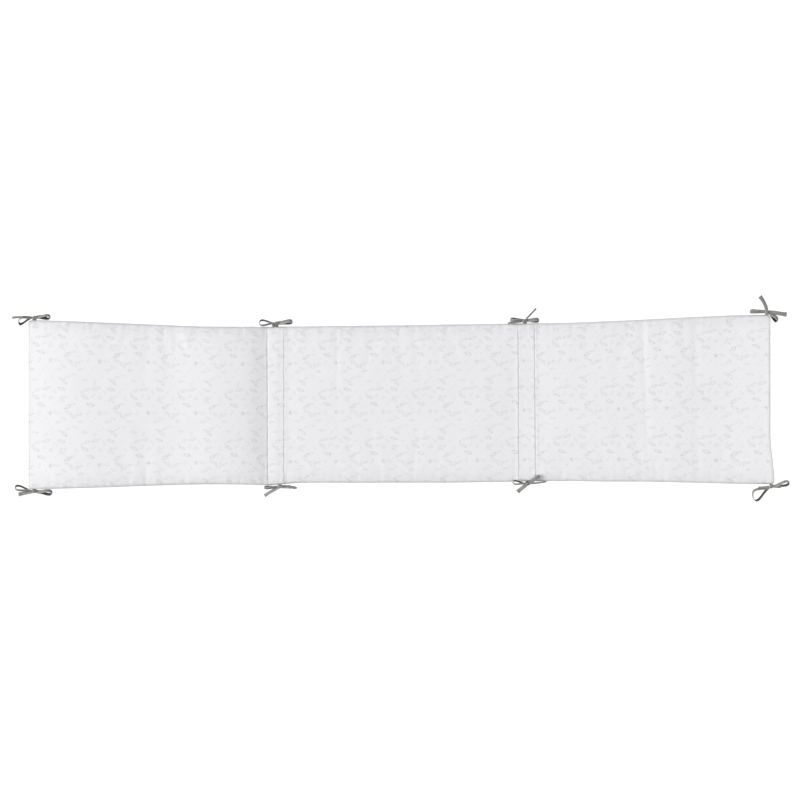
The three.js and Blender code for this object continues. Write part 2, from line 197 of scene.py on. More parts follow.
def gridQuads(index):
    corners = [index[:-1, :-1], index[1:, :-1], index[1:, 1:], index[:-1, 1:]]
    return np.stack(corners, -1).reshape(-1, 4)


def pathMesh(name, runs):  # a run holds its points, a direction and a width share for each
    edges = []
    start = 0
    for run in runs:
        count = len(run["points"])
        edges += [(start + k, start + k + 1) for k in range(count - 1)]
        if run["closed"]:
            edges.append((start + count - 1, start))
        start += count
    mesh = bpy.data.meshes.new(name)
    points = np.concatenate([run["points"] for run in runs])
    mesh.from_pydata(points.tolist(), edges, [])
    writeAttribute(mesh, "way", np.concatenate([run["ways"] for run in runs]))
    writeAttribute(mesh, "share", np.concatenate([run["shares"] for run in runs]))
    return mesh


def unit(vectors):
    return vectors / np.linalg.norm(vectors, axis=-1, keepdims=True)


def smoothStep(values, low, high):
    share = np.clip((values - low) / (high - low), 0, 1)
    return share * share * (3 - 2 * share)


# Camera and studio

studio = {
    "centreY": 0.0073,  # the middle of the picture
    "pictureWidth": 1.936,  # what the picture takes in at the height of the edge seams
    "seamHeight": 0.008,
    "distance": 4.0,
    "sensor": 36.0,
    "floorSize": 40.0,
    "floorDrop": 0.0005,
    "floorColour": (0.15, 0.15, 0.15, 1),
    "floorRoughness": 0.9,
    "floorGlow": 0.98,  # it gives off white light, so that it is as white as the photo's
    "skyColour": (1.0, 1.0, 1.0, 1),
    "skyStrength": 0.08,
    # name, place, what it points at, its size, watts
    "lights": [
        ("overhead", (-0.2, 0.0, 4.6), (-0.2, 0.0, 0.0), (3.0, 1.6), 25),
        ("left", (-11.5, 0.1, 4.9), (0.0, 0.0, 0.0), (7.0, 7.0), 2380),
        ("right", (3.9, 0.1, 3.9), (0.0, 0.0, 0.0), (3.0, 3.0), 143),
    ],
}


def pointedAt(place, target):
    back = np.array(place) - np.array(target)
    flat = math.hypot(back[0], back[1])
    return (0.0, math.atan2(flat, back[2]), math.atan2(back[1], back[0]))


def makeStudio():
    scene = bpy.context.scene
    lens = bpy.data.cameras.new("camera")
    lens.sensor_width = studio["sensor"]
    clear = studio["distance"] - studio["seamHeight"]
    lens.lens = studio["sensor"] * clear / studio["pictureWidth"]
    camera = linked("camera", lens)
    camera.location = (0, studio["centreY"], studio["distance"])
    scene.camera = camera
    scene.view_settings.view_transform = "Standard"

    world = bpy.data.worlds.new("studio")
    world.use_nodes = True
    backdrop = world.node_tree.nodes["Background"]
    backdrop.inputs["Color"].default_value = studio["skyColour"]
    backdrop.inputs["Strength"].default_value = studio["skyStrength"]
    scene.world = world

    for name, place, target, size, watts in studio["lights"]:
        lamp = bpy.data.lights.new(name, "AREA")
        lamp.shape = "RECTANGLE"
        lamp.size = size[0]
        lamp.size_y = size[1]
        lamp.energy = watts
        holder = linked(name, lamp)
        holder.location = place
        holder.rotation_euler = pointedAt(place, target)
        holder.visible_camera = False

    half = studio["floorSize"] / 2
    low = -studio["floorDrop"]
    corners = [(-half, -half, low), (half, -half, low), (half, half, low), (-half, half, low)]
    mesh = bpy.data.meshes.new("floor")
    mesh.from_pydata(corners, [], [(0, 1, 2, 3)])
    floor = linked("floor", mesh)
    material, wire = newMaterial("pale floor")
    paint = {
        "Base Color": studio["floorColour"],
        "Roughness": studio["floorRoughness"],
        "Emission Color": (1, 1, 1, 1),
        "Emission Strength": studio["floorGlow"],
    }
    closeMaterial(wire, paint)
    mesh.materials.append(material)


makeStudio()
print("camera, floor and lights set")


# Cotton with a small leaf print

cotton = {
    "colour": (0.803, 0.800, 0.820, 1),
    "ink": (0.600, 0.603, 0.626, 1),
    "repeat": (0.1137, 0.1198, 1),  # along and across the pad
    "shift": (0.170, 0.626, 0),  # of the repeat, as shares
    # scale and detail of the noise: flecks of about 3 mm in the ink, slubs and clouds in the cloth
    "fleckNoise": (300, 1.0),
    "slubNoise": (260.0, 3.0),
    "cloudNoise": (9.0, 2.0),
    "fleckEdge": (0.36, 0.56),  # from bare cloth to full ink
    # how a leaf is drawn, in shares of its half width: the line round it, its vein and its rim
    "leafLine": (0.45, 0.75),
    "leafVein": (0.10, 0.26),
    "leafRim": (0.95, 1.20),
    # place in the repeat as shares, turn, half length, half width, strength of the ink
    "leaves": [
        (0.62, 0.63, -18, 0.0105, 0.0040, 1.00), (0.16, 0.59, 30, 0.0100, 0.0042, 1.00),
        (0.27, 0.64, 8, 0.0070, 0.0028, 0.70), (0.17, 0.48, -30, 0.0085, 0.0034, 0.70),
        (0.25, 0.42, -70, 0.0075, 0.0030, 0.80), (0.33, 0.41, 80, 0.0075, 0.0028, 0.80),
        (0.41, 0.44, 25, 0.0085, 0.0030, 0.80), (0.42, 0.30, 3, 0.0070, 0.0028, 0.80),
        (0.16, 0.16, 25, 0.0085, 0.0026, 0.70), (0.09, 0.07, -45, 0.0100, 0.0040, 0.90),
        (0.01, 0.12, -20, 0.0065, 0.0030, 0.70), (0.50, 0.10, -5, 0.0080, 0.0030, 0.65),
        (0.71, 0.05, 60, 0.0065, 0.0030, 0.60), (0.73, 0.94, 15, 0.0115, 0.0038, 0.80),
        (0.55, 0.91, 20, 0.0085, 0.0034, 0.75), (0.45, 0.83, -80, 0.0080, 0.0030, 0.70),
        (0.52, 0.77, -30, 0.0085, 0.0038, 0.90), (0.82, 0.76, 10, 0.0055, 0.0040, 0.65),
        (0.04, 0.93, -18, 0.0100, 0.0040, 0.90), (0.02, 0.75, 70, 0.0080, 0.0030, 0.70),
        (0.10, 0.77, 20, 0.0080, 0.0030, 0.65), (0.06, 0.70, -30, 0.0070, 0.0028, 0.70),
        (0.98, 0.30, 12, 0.0090, 0.0034, 0.60), (0.08, 0.36, -30, 0.0075, 0.0030, 0.60),
        (0.94, 0.47, -20, 0.0080, 0.0038, 0.55), (0.33, 0.75, -60, 0.0070, 0.0026, 0.55),
        (0.68, 0.80, 40, 0.0070, 0.0028, 0.55), (0.90, 0.88, -50, 0.0075, 0.0028, 0.55),
        (0.30, 0.20, -25, 0.0080, 0.0028, 0.50), (0.58, 0.47, 60, 0.0070, 0.0028, 0.55),
    ],
    "dotRim": (0.6, 1.2),  # where a berry fades, in shares of its radius
    # berries: place, radius, strength
    "dots": [
        (0.38, 0.56, 0.0016, 0.9), (0.44, 0.53, 0.0014, 0.8), (0.34, 0.51, 0.0013, 0.7),
        (0.72, 0.36, 0.0016, 0.9), (0.66, 0.30, 0.0014, 0.8), (0.78, 0.28, 0.0013, 0.7),
        (0.90, 0.63, 0.0016, 0.8), (0.95, 0.67, 0.0013, 0.7), (0.86, 0.17, 0.0016, 0.8),
        (0.80, 0.12, 0.0013, 0.7), (0.22, 0.88, 0.0016, 0.9), (0.28, 0.93, 0.0014, 0.8),
        (0.35, 0.02, 0.0015, 0.8), (0.60, 0.20, 0.0014, 0.7),
    ],
    # place in the repeat, radius and petals of the one darker floret
    "floret": (0.81, 0.47, 0.0066, 5),
    "floretRim": (0.70, 1.15),
    "petalRim": (0.72, 0.28),  # mean radius and swing of the petals
    # painted shade: two darker bands along the long edges, where the rounded edge turns from the light;
    # where each is full, where it has gone, and its share
    "paintedEdgeShade": [(0.001, 0.008, 0.080), (0.001, 0.045, 0.045)],
    "cloudShares": (0.35, 0.65),  # of slubs and clouds in what changes the cloth's shade
    "shades": (0.955, 1.02),  # the darkest and the lightest cloth
    "inkDepth": (0.75, 0.4),  # least strength of the ink, and what slubs add
    "threadPitch": 0.0007,
    "weaveDepth": 0.00006,
    "weaveShares": (0.6, 0.8),  # of weave and slubs in the relief
    "weaveBump": 0.5,
    "roughness": (0.88, 0.1),  # least, and what slubs add
    "sheen": (0.12, 0.5),  # weight and roughness
    "specular": 0.25,
}


def nearestPlace(wire, cell, placeX, placeY):  # in metres from a place in the nearest repeat
    away = wire.vector("SUBTRACT", cell, (placeX, placeY, 0))
    nearest = wire.vector("WRAP", away, (0.5, 0.5, 0.5), (-0.5, -0.5, -0.5))
    return wire.vector("MULTIPLY", nearest, cotton["repeat"])


def leafInk(wire, cell, leaf):  # drawn as a line round it and a vein, pointed at both ends
    placeX, placeY, turn, long, wide, strength = leaf
    near = nearestPlace(wire, cell, placeX, placeY)
    fitted = wire.node(
        "ShaderNodeMapping", {"vector_type": "TEXTURE"},
        {"Vector": near, "Rotation": (0, 0, math.radians(turn)), "Scale": (long, wide, 1)},
    )
    along, aside, _ = fitted.parts()
    off = abs(aside)
    outward = along * along + off
    drawn = outward.ease(*cotton["leafLine"]).most(1 - off.ease(*cotton["leafVein"]))
    return (1 - outward.ease(*cotton["leafRim"])) * drawn * strength


def dotInk(wire, cell, dot):
    placeX, placeY, radius, strength = dot
    away = wire.vector("LENGTH", nearestPlace(wire, cell, placeX, placeY))
    length = Wire(wire.tree, away.socket.node.outputs["Value"])
    inner, outer = [radius * share for share in cotton["dotRim"]]
    return (1 - length.ease(inner, outer)) * strength


def floretInk(wire, cell):
    placeX, placeY, radius, petals = cotton["floret"]
    along, aside, _ = nearestPlace(wire, cell, placeX, placeY).parts()
    length = wire.math("SQRT", along * along + aside * aside)
    angle = wire.math("ARCTAN2", aside, along)
    mean, swing = cotton["petalRim"]
    rim = mean + (angle * petals).sine() * swing
    inner, outer = [radius * share for share in cotton["floretRim"]]
    return 1 - (length / rim).ease(inner, outer)


def makeCotton():
    material, wire = newMaterial("printed cotton")
    flat = wire.attribute("clothAt", "Vector")
    cell = wire.vector("ADD", wire.vector("DIVIDE", flat, cotton["repeat"]), cotton["shift"])
    ink = floretInk(wire, cell)
    for leaf in cotton["leaves"]:
        ink = ink.most(leafInk(wire, cell, leaf))
    for dot in cotton["dots"]:
        ink = ink.most(dotInk(wire, cell, dot))
    ink = ink * wire.noise(flat, *cotton["fleckNoise"]).ease(*cotton["fleckEdge"])

    # Slubs in the yarn, and the printed ground
    slubs = wire.noise(flat, *cotton["slubNoise"])
    clouds = wire.noise(flat, *cotton["cloudNoise"])
    slubShare, cloudShare = cotton["cloudShares"]
    dark, light = [shaded(cotton["colour"], share) for share in cotton["shades"]]
    ground = (slubs * slubShare + clouds * cloudShare).blend(dark, light)
    leastInk, slubInk = cotton["inkDepth"]
    printed = (ink * (leastInk + slubs * slubInk)).blend(ground, cotton["ink"])
    # Painted shade darkens the cloth towards the long edges
    fromEdge = wire.attribute("fromEdge")
    black = (0, 0, 0, 1)
    for full, gone, share in cotton["paintedEdgeShade"]:
        printed = ((1 - fromEdge.ease(full, gone)) * share).blend(printed, black)

    # The plain weave
    along, across, _ = flat.parts()
    turnRate = 2 * math.pi / cotton["threadPitch"]
    weave = (along * turnRate).sine() * (across * turnRate).sine()
    weaveShare, slubShare = cotton["weaveShares"]
    relief = weave * weaveShare + slubs * slubShare
    leastRough, slubRough = cotton["roughness"]
    paint = {
        "Base Color": printed,
        "Roughness": leastRough + slubs * slubRough,
        "Sheen Weight": cotton["sheen"][0],
        "Sheen Roughness": cotton["sheen"][1],
        "Specular IOR Level": cotton["specular"],
        "Normal": relief.bump(cotton["weaveBump"], cotton["weaveDepth"]),
    }
    closeMaterial(wire, paint)
    return material


# Grey tape and sewing thread

tapeCloth = {
    "colour": (0.192, 0.191, 0.184, 1),
    "wornAndLit": (0.500, 0.497, 0.482, 1),  # the tape where it is rubbed, and a painted highlight along the folded edges
    "inside": (0.050, 0.050, 0.047, 1),  # painted shade: the tape's one face, which lies inside the loops, is darkened
    "halfWidth": 0.005,
    "fuzzNoise": (900.0, 3.0),  # scale and detail
    "patchNoise": (120.0, 2.0),
    "rim": (0.62, 1.0),  # where the painted highlight along the edges starts and is full, in shares of the half width
    # what the edges add as a painted highlight, what fuzz and patches add as rubbing, and how much of
    # that does not show
    "wearAndHighlight": (0.7, 0.35, 0.5, 0.30),
    "turnOver": 0.4,  # how sharply the painted shade of the one face changes to the other face at the edge
    "ribPitch": 0.0008,
    "ribDepth": 0.00010,
    "ribShare": 0.6,  # in the relief, beside fuzz
    "ribBump": 0.6,
    "roughness": (0.86, 0.1),  # least, and what fuzz adds
    "sheen": 0.15,
    "specular": 0.2,
}


def makeTapeCloth():
    material, wire = newMaterial("grey cotton tape")
    place = wire.node("ShaderNodeTexCoord", {}, {}, outlet="Object")
    fuzz = wire.noise(place, *tapeCloth["fuzzNoise"])
    patches = wire.noise(place, *tapeCloth["patchNoise"])
    along = wire.attribute("alongTape")
    across = wire.attribute("acrossTape")
    side = wire.attribute("sideTape")
    rimHighlight, fuzzWear, patchWear, unseen = tapeCloth["wearAndHighlight"]
    # The rims are lighter by a painted highlight; fuzz and patches make the tape look rubbed
    rim = abs(across).ease(*tapeCloth["rim"])
    wornAndLit = rim * rimHighlight + fuzz * fuzzWear + patches * patchWear - unseen
    # Painted shade: one face of the tape is darker, standing in for the shade inside the loops
    turned = side.ease(-tapeCloth["turnOver"], tapeCloth["turnOver"])
    faces = turned.blend(tapeCloth["colour"], tapeCloth["inside"])
    turnRate = 2 * math.pi / tapeCloth["ribPitch"]
    ribs = (along * turnRate).sine() * (across * (tapeCloth["halfWidth"] * turnRate)).sine()
    relief = ribs * tapeCloth["ribShare"] + fuzz
    leastRough, fuzzRough = tapeCloth["roughness"]
    paint = {
        "Base Color": wornAndLit.blend(faces, tapeCloth["wornAndLit"]),
        "Roughness": leastRough + fuzz * fuzzRough,
        "Sheen Weight": tapeCloth["sheen"],
        "Specular IOR Level": tapeCloth["specular"],
        "Normal": relief.bump(tapeCloth["ribBump"], tapeCloth["ribDepth"]),
    }
    closeMaterial(wire, paint)
    return material


thread = {
    "colour": (0.80, 0.80, 0.82, 1),
    "dim": 0.85,  # between the twists
    "twistNoise": (1500.0, 2.0),  # scale and detail
    "roughness": (0.6, 0.2),  # least, and what the twist adds
    "specular": 0.3,
}


def makeThread():
    material, wire = newMaterial("white thread")
    place = wire.node("ShaderNodeTexCoord", {}, {}, outlet="Object")
    twist = wire.noise(place, *thread["twistNoise"])
    leastRough, twistRough = thread["roughness"]
    paint = {
        "Base Color": twist.blend(shaded(thread["colour"], thread["dim"]), thread["colour"]),
        "Roughness": leastRough + twist * twistRough,
        "Specular IOR Level": thread["specular"],
    }
    closeMaterial(wire, paint)
    return material


printedCotton = makeCotton()
greyTape = makeTapeCloth()
whiteThread = makeThread()
print("materials made")


# The padded cover

pad = {
    "leftEnd": -0.900,
    "rightEnd": 0.896,
    "cornerRadius": 0.009,
    "cornerFlare": 0.010,  # the lower right corner is pulled out by its tie
    "flareLength": 0.160,
    "flareStart": 0.4,  # up the right end, as a share of half its height
    "loft": 0.0185,  # top of a filled panel
    "crown": 0.0015,  # fall of the front from its middle to the long edges
    "seamRise": 0.007,  # height of the edge seam above the underside
    "seamThick": 0.0026,
    "rimBulge": 0.0008,  # how far the folded edge seam stands out between front and back
    # how the height grows from a seam: a quick lip, a slow rise, and the lip's share of the height
    "edgeRoll": (0.0040, 0.024, 0.50),
    "endRolls": [(0.0006, 0.006, 0.90), (0.0025, 0.008, 0.72)],  # left and right
    "hem": 0.0045,  # the panel's top stays level this near to the left and right end
    "hemBead": (0.0008, 0.0018, 0.00028),  # along the left end: distance, width and rise
    "grooveRoll": (0.0024, 0.010, 0.95),
    "grooveDepths": [0.0004, 0.0004, 0.0004, 0.0005],  # of the lines of stitching
    "welt": (0.0026, 0.0030, 0.00028),  # beside those lines: its distance, width and rise
    "backRoll": 0.040,  # the back comes down over this distance from a seam
    "backBulge": 0.009,
    "rollPower": 2.4,  # how round the filling is beside a seam
    "stripWidth": 0.040,
    "stripCentres": [-0.2998, 0.3065],
    # top of a strip, how much higher it is in its middle, and how much it rises to the right
    "strips": {1: (0.0162, 0.0008, 0.0006), 3: (0.0166, 0.0002, 0)},
    "seamLeans": [0, -0.0011, 0, -0.0012, -0.0016, 0],  # of the top end of each seam
    "stripBulge": 0.0045,  # of its back
    # a panel thins towards its two seams, or rises where the value is negative: how much, and over what
    # length, at its left and right end
    "thinning": {
        0: (0.0080, 0.168, 0.0036, 0.058),
        2: (0.0022, 0.210, 0.0015, 0.180),
        4: (0.0022, 0.260, -0.0029, 0.130),
    },
    # x, width and rise of a broad swell across a panel
    "swells": {0: (-0.432, 0.100, 0.0042), 4: (0.662, 0.045, 0.0008)},
    # x, and the distances of the top and bottom edge from the centre line
    "sections": [
        (-0.900, 0.1998, 0.2078), (-0.799, 0.1975, 0.2060), (-0.702, 0.1936, 0.2032),
        (-0.605, 0.1897, 0.1997), (-0.484, 0.1849, 0.1965), (-0.387, 0.1842, 0.1968),
        (-0.321, 0.1839, 0.1984), (-0.281, 0.1843, 0.1955), (-0.242, 0.1847, 0.1928),
        (-0.121, 0.1862, 0.1925), (0.000, 0.1874, 0.1923), (0.121, 0.1895, 0.1921),
        (0.242, 0.1912, 0.1903), (0.387, 0.1931, 0.1881), (0.484, 0.1965, 0.1894),
        (0.605, 0.2020, 0.1899), (0.726, 0.2082, 0.1928), (0.823, 0.2120, 0.1951),
        (0.907, 0.2123, 0.1960),
    ],
    # x, edge it starts at, run across the pad, drift along x, width, rise
    "creases": [
        (-0.541, 1, 0.110, 0, 0.008, -0.0006), (-0.522, 1, 0.100, 0.018, 0.007, 0.0008),
        (-0.356, 1, 0.130, 0, 0.0036, 0.0003), (-0.612, -1, 0.050, -0.005, 0.006, -0.0009),
        (-0.153, 1, 0.330, 0.004, 0.004, -0.0004),
        (-0.208, -1, 0.045, 0.008, 0.004, -0.0011), (-0.198, -1, 0.036, 0.006, 0.004, -0.0008),
        (0.584, 1, 0.500, 0.024, 0.006, -0.0003), (0.601, 1, 0.500, 0.022, 0.011, 0.0003),
        (0.712, 1, 0.420, 0.006, 0.007, -0.0003), (0.396, -1, 0.040, -0.008, 0.006, -0.0006),
        (0.622, -1, 0.080, -0.014, 0.004, -0.0008),
    ],
    "step": 0.0047,  # of the mesh
    "besideSeam": [0.0006, 0.0014, 0.0024, 0.0038, 0.0058, 0.0085],  # its closer lines
    "puckerRise": 0.00045,
    "puckerReach": 0.007,  # where a pucker is highest, from its seam
    # length and share of the waves that a gathered seam shows
    "puckerWaves": [(0.0135, 0.30), (0.0190, 0.38), (0.0275, 0.42), (0.0430, 0.35)],
    "seed": 7,  # of their phases
}


def edgeAt(x, side):  # a smooth curve through the sections; side is 1 for top, 2 for bottom
    table = np.array(pad["sections"])
    last = len(table) - 1
    after = np.clip(np.searchsorted(table[:, 0], x), 1, last)
    four = [np.clip(after + k, 0, last) for k in (-2, -1, 0, 1)]
    xs = [table[k, 0] for k in four]
    ys = [table[k, side] for k in four]
    span = xs[2] - xs[1]
    t = (x - xs[1]) / span
    slopeIn = (ys[2] - ys[0]) / (xs[2] - xs[0]) * span
    slopeOut = (ys[3] - ys[1]) / (xs[3] - xs[1]) * span
    ends = ys[1] * (1 + 2 * t) * (1 - t) ** 2 + ys[2] * t ** 2 * (3 - 2 * t)
    return ends + slopeIn * t * (1 - t) ** 2 + slopeOut * t ** 2 * (t - 1)


def seamLines():
    half = pad["stripWidth"] / 2
    stitched = [centre + side * half for centre in pad["stripCentres"] for side in (-1, 1)]
    return [pad["leftEnd"], *stitched, pad["rightEnd"]]


def rolled(distance, reach):  # 0 at a seam, 1 where the filling has its full height
    return 1 - (1 - np.minimum(distance / reach, 1)) ** pad["rollPower"]


def plumped(distance, roll):
    lip, reach, lipShare = roll
    return lipShare * rolled(distance, lip) + (1 - lipShare) * rolled(distance, reach)


def puckers(along, distance, phase):  # small gathers that fade away from a seam
    wave = 0
    for k, (length, share) in enumerate(pad["puckerWaves"]):
        wave = wave + share * np.sin(2 * math.pi * along / length + phase[k])
    near = distance / pad["puckerReach"]
    return pad["puckerRise"] * wave * near * np.exp(1 - near)


def coverGrid(columns, rows):
    # columns are x places with the span each lies in, rows are v from -1 at the bottom to 1 at the top
    seams = seamLines()
    x = np.array([place for place, _ in columns])[:, None]
    v = np.array(rows)[None, :]
    spans = [span for _, span in columns]
    start = np.array([seams[k] for k in spans])[:, None]
    stop = np.array([seams[k + 1] for k in spans])[:, None]
    top = edgeAt(x, 1)
    bottom = edgeAt(x, 2)
    half = (top + bottom) / 2
    return {
        "x": x,
        "v": v,
        "spans": spans,
        "start": start,
        "stop": stop,
        "filled": np.array([k % 2 == 0 for k in spans])[:, None],
        "middle": (top - bottom) / 2,
        "half": half,
        "toEdge": (1 - np.abs(v)) * half,
        "toSeam": np.minimum(x - start, stop - x),
        "toEnd": np.minimum(x - pad["leftEnd"], pad["rightEnd"] - x),
    }


def spanValues(table, spans, missing):  # one column of values for each entry of a span's row
    rows = np.array([table.get(k, missing) for k in spans])
    return [rows[:, k, None] for k in range(len(missing))]


def coverPlan(grid):  # from above: round corners, one of them flared, and leaning seams
    x = grid["x"]
    v = grid["v"]
    radius = pad["cornerRadius"]
    nearEnd = np.maximum(0, 1 - grid["toEnd"] / radius)
    nearEdge = np.maximum(0, 1 - grid["toEdge"] / radius)
    inFromEnd = radius * nearEnd * (1 - np.sqrt(1 - nearEdge ** 2 / 2))
    inFromEdge = radius * nearEdge * (1 - np.sqrt(1 - nearEnd ** 2 / 2))
    nearRight = smoothStep(x, pad["rightEnd"] - pad["flareLength"], pad["rightEnd"])
    flare = pad["cornerFlare"] * smoothStep(-v, pad["flareStart"], 1) * nearRight
    lean = np.interp(x, seamLines(), pad["seamLeans"]) * v
    planX = x + lean + flare - np.sign(x) * inFromEnd
    planY = grid["middle"] + v * grid["half"] - np.sign(v) * inFromEdge
    return planX, planY


def thinning(grid):
    leftFall, leftReach, rightFall, rightReach = spanValues(pad["thinning"], grid["spans"], (0, 1, 0, 1))
    x = np.clip(grid["x"], pad["leftEnd"] + pad["hem"], pad["rightEnd"] - pad["hem"])
    leftShare = np.clip(1 - (x - grid["start"]) / leftReach, 0, 1)
    rightShare = np.clip(1 - (grid["stop"] - x) / rightReach, 0, 1)
    return leftFall * leftShare ** 2 + rightFall * rightShare ** 2


def swellHeight(grid):
    at, width, rise = spanValues(pad["swells"], grid["spans"], (0, 1, 0))
    return rise * np.exp(-((grid["x"] - at) / width) ** 2)


def creaseHeight(grid):
    height = 0
    for at, side, run, drift, width, rise in pad["creases"]:
        share = (1 - side * grid["v"]) * grid["half"] / run
        off = (grid["x"] - at - drift * share) / width
        height = height + rise * np.exp(-off * off) * np.maximum(0, 1 - share * share)
    return height


def panelTop(grid):
    return pad["loft"] - thinning(grid) + swellHeight(grid) + creaseHeight(grid)


def stripTop(grid):
    level, crown, tilt = spanValues(pad["strips"], grid["spans"], (0, 0, 0))
    alongSpan = (2 * grid["x"] - grid["start"] - grid["stop"]) / (grid["stop"] - grid["start"])
    return level + crown * (1 - alongSpan ** 2) + tilt * alongSpan / 2


def sewnDepth(x):  # of the grooves; welts beside them and the bead at the left end take away from it
    depths = 0
    weltAt, weltWidth, weltRise = pad["welt"]
    for line, depth in zip(seamLines()[1:-1], pad["grooveDepths"]):
        away = np.abs(x - line)
        depths = depths + depth * (1 - plumped(away, pad["grooveRoll"]))
        depths = depths - weltRise * np.exp(-((away - weltAt) / weltWidth) ** 2)
    beadAt, beadWidth, beadRise = pad["hemBead"]
    return depths - beadRise * np.exp(-((x - pad["leftEnd"] - beadAt) / beadWidth) ** 2)


def frontHeight(grid):
    x = grid["x"]
    seamTop = pad["seamRise"] + pad["seamThick"] / 2
    fullTop = np.where(grid["filled"], panelTop(grid), stripTop(grid)) - pad["crown"] * grid["v"] ** 2
    fullHeight = fullTop - sewnDepth(x) - seamTop
    leftRoll = plumped(x - pad["leftEnd"], pad["endRolls"][0])
    rightRoll = plumped(pad["rightEnd"] - x, pad["endRolls"][1])
    return seamTop + fullHeight * plumped(grid["toEdge"], pad["edgeRoll"]) * leftRoll * rightRoll


def gathered(front, grid, planX, planY):  # with the puckers of the stitched lines and the long edges
    reach = pad["stripWidth"] / 2
    lines = seamLines()[1:-1]
    sides = (1, -1)
    counts = (len(lines) + len(sides), len(pad["puckerWaves"]))
    phases = np.random.default_rng(pad["seed"]).uniform(0, 2 * math.pi, counts)
    for line, phase in zip(lines, phases):
        away = np.abs(grid["x"] - line)
        front = front + puckers(planY, away, phase) * rolled(grid["toEdge"], reach)
    for side, phase in zip(sides, phases[len(lines):]):
        away = (1 - side * grid["v"]) * grid["half"]
        front = front + puckers(planX, away, phase) * rolled(grid["toEnd"], reach)
    return front


def backHeight(grid):
    seamBack = pad["seamRise"] - pad["seamThick"] / 2
    strip = pad["stripWidth"] / 2
    panelRoll = rolled(grid["toEdge"], pad["backRoll"])
    panelHang = pad["backBulge"] * panelRoll * rolled(grid["toSeam"], pad["backRoll"])
    stripHang = pad["stripBulge"] * rolled(grid["toSeam"], strip) * rolled(grid["toEdge"], strip)
    return np.maximum(seamBack - np.where(grid["filled"], panelHang, stripHang), 0)


def coverShape(columns, rows):
    grid = coverGrid(columns, rows)
    planX, planY = coverPlan(grid)
    front = gathered(frontHeight(grid), grid, planX, planY)
    return planX, planY, front, backHeight(grid)


def spread(start, stop, beside, step):  # close lines beside both ends, even ones between
    near = [start, *[start + off for off in beside]]
    far = [*[stop - off for off in reversed(beside)], stop]
    count = max(1, round((far[0] - near[-1]) / step))
    between = np.linspace(near[-1], far[0], count + 1)[1:-1]
    return [*near, *between.tolist(), *far]


def meanHalf():  # half the pad's mean height
    return np.mean([(top + bottom) / 2 for _, top, bottom in pad["sections"]])


def seamColumns(beside, step):
    seams = seamLines()
    columns = []
    for k in range(len(seams) - 1):
        places = spread(seams[k], seams[k + 1], beside, step)
        columns += [(place, k) for place in places[:-1]]
    return [*columns, (seams[-1], len(seams) - 2)]


def seamRows(beside, step):
    half = meanHalf()
    return [y / half for y in spread(-half, half, beside, step)]


def clothPlaces(columns, rows):  # where each point is on the flat printed cloth
    x = np.array([place for place, _ in columns])
    height = edgeAt(x, 1) + edgeAt(x, 2)
    middle = np.median(height)
    steps = np.diff(x) * middle * 2 / (height[1:] + height[:-1])
    along = np.concatenate([[0], np.cumsum(steps)])
    along = along - np.interp(0, x, along)
    across = np.array(rows) * middle / 2
    along, across = np.meshgrid(along, across, indexing="ij")
    return np.stack([along, across, 0 * along], -1)


# The filled front as simulated cloth, held along all seams

cloth = {
    "step": 0.0068,  # of its own coarser mesh
    "frames": 20,
    "pressure": 4.0,
    "slack": 0.015,  # how much larger the cloth is than the room between its seams
    "mass": 0.2,
    "tension": 20.0,
    "bending": 0.6,
    "damping": 3.0,
    "quality": 6,
    "swellReach": 5,  # steps over which the swelling is evened out and left off
    "foldShare": 0.18,  # how much of the folds a well filled pad still shows
    "flatBeside": 0.045,  # a seam draws its cloth flat this far to both sides
    "mostShift": 0.0003,  # no fold is higher or deeper
}


def evened(field, reach):
    kernel = np.ones(2 * reach + 1) / (2 * reach + 1)
    for axis in (0, 1):
        field = np.apply_along_axis(
            lambda line: np.convolve(np.pad(line, reach, "edge"), kernel, "valid"), axis, field,
        )
    return field


def settledHeights(points, held):  # the height of every point of a grid after the cloth has settled
    nx, ny = held.shape
    index = np.arange(nx * ny).reshape(nx, ny)
    mesh = bpy.data.meshes.new("front-cloth")
    mesh.from_pydata(points.reshape(-1, 3).tolist(), [], gridQuads(index).tolist())
    holder = linked("front-cloth", mesh)
    group = holder.vertex_groups.new(name="seams")
    group.add(index[held].tolist(), 1.0, "REPLACE")
    modifier = holder.modifiers.new("cloth", "CLOTH")
    settings = modifier.settings
    settings.quality = cloth["quality"]
    settings.mass = cloth["mass"]
    settings.tension_stiffness = cloth["tension"]
    settings.compression_stiffness = cloth["tension"]
    settings.bending_stiffness = cloth["bending"]
    settings.air_damping = cloth["damping"]
    settings.use_pressure = True
    settings.uniform_pressure_force = cloth["pressure"]
    settings.shrink_min = -cloth["slack"]
    settings.vertex_group_mass = group.name
    settings.effector_weights.gravity = 0
    modifier.collision_settings.use_collision = False
    modifier.point_cache.frame_start = 1
    modifier.point_cache.frame_end = cloth["frames"]
    scene = bpy.context.scene
    for number in range(1, cloth["frames"] + 1):
        scene.frame_set(number)
    shown = holder.evaluated_get(bpy.context.evaluated_depsgraph_get())
    settled = np.empty(nx * ny * 3, np.float32)
    shown.data.vertices.foreach_get("co", settled)
    bpy.data.objects.remove(holder)
    bpy.data.meshes.remove(mesh)
    scene.frame_set(1)
    return settled.reshape(nx, ny, 3)[:, :, 2]


def lowToHigh(heights):  # in millimetres
    return f"{1000 * heights.min():.2f} to {1000 * heights.max():.2f}"


